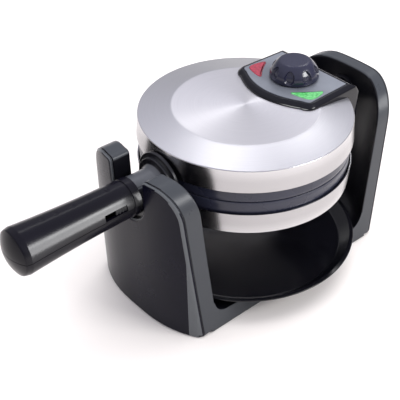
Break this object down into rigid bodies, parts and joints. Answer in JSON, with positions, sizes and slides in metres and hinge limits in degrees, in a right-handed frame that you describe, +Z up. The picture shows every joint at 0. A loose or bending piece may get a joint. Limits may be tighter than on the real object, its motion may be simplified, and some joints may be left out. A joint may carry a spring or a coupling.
{
  "type": "rotating waffle maker",
  "caption": "Round flip-over waffle maker: hinged steel cooking unit turning between the towers of a black base, split handle, dial, lamps and lift-out drip tray.",
  "frame": {"origin": "centre of the bounding box at table height", "axes": "+Z up, +Y from the handle to the rear tower along the turning axis, +X to the user's right"},
  "size_m": [0.2364, 0.4368, 0.2036],
  "materials": {
    "base_black": "satin moulded black",
    "rubber_feet": "matt",
    "plated_steel": "zinc plated",
    "nylon": "natural nylon",
    "tray_black": "gloss black",
    "brushed_shell": "satin brushed",
    "band_plastic": "semi-gloss dark grey blue",
    "cast_plate": "cast, dark non-stick coating",
    "handle_black": "semi-gloss black",
    "die_cast": "die cast",
    "box_black": "gloss black",
    "grey_panel": "satin mid grey",
    "dial_black": "semi-gloss black",
    "red_lens": "clear red",
    "green_lens": "clear green",
    "lamp_glass": "clear"
  },
  "bodies": {
    "base": {"base_frame": "base_black", "front_cover": "base_black", "rear_cover": "base_black", "bottom_plate": "base_black", "foot_1": "rubber_feet", "foot_2": "rubber_feet", "foot_3": "rubber_feet", "foot_4": "rubber_feet", "base_screw_1": "plated_steel", "base_screw_2": "plated_steel", "base_screw_3": "plated_steel", "base_screw_4": "plated_steel", "cradle_liner": "nylon", "rear_bush": "nylon", "cord_gland": "rubber_feet", "terminal_block": "nylon"},
    "tray": {"drip_tray": "tray_black"},
    "lower_half": {"lower_shell": "brushed_shell", "lower_band": "band_plastic", "lower_plate": "cast_plate", "lower_element": "plated_steel", "lower_trunnion": "handle_black", "lower_handle": "handle_black", "rear_bracket": "die_cast", "hinge_pin": "plated_steel", "shaft_clip": "plated_steel", "thermal_fuse": "nylon"},
    "lid": {"upper_shell": "brushed_shell", "upper_band": "band_plastic", "upper_plate": "cast_plate", "upper_element": "plated_steel", "upper_trunnion": "handle_black", "upper_handle": "handle_black", "control_box": "box_black", "control_panel": "grey_panel", "red_lens": "red_lens", "green_lens": "green_lens", "red_bulb": "lamp_glass", "green_bulb": "lamp_glass", "thermostat": "nylon", "hinge_leaf": "die_cast"},
    "dial": {"temperature_dial": "dial_black", "dial_shaft": "plated_steel"},
    "latch": {"handle_latch": "die_cast"}
  },
  "joints": [
    {"name": "unit_rotation", "type": "hinge", "parent": "base", "child": "lower_half", "pos_m": [0, 0.05219, 0.1385], "axis": [0, 1, 0], "range_deg": [-180, 0]},
    {"name": "lid_hinge", "type": "hinge", "parent": "lower_half", "child": "lid", "pos_m": [0, 0.16969, 0.159], "axis": [-1, 0, 0], "range_deg": [0, 95]},
    {"name": "temperature_dial_turn", "type": "hinge", "parent": "lid", "child": "dial", "pos_m": [0, 0.11819, 0.1848], "axis": [0, 0, -1], "range_deg": [0, 270]},
    {"name": "handle_latch_slide", "type": "slide", "parent": "lid", "child": "latch", "axis": [0, 1, 0], "range_m": [-0.01, 0]},
    {"name": "drip_tray_lift", "type": "slide", "parent": "base", "child": "tray", "axis": [0, 0, 1], "range_m": [0, 0.05]}
  ]
}
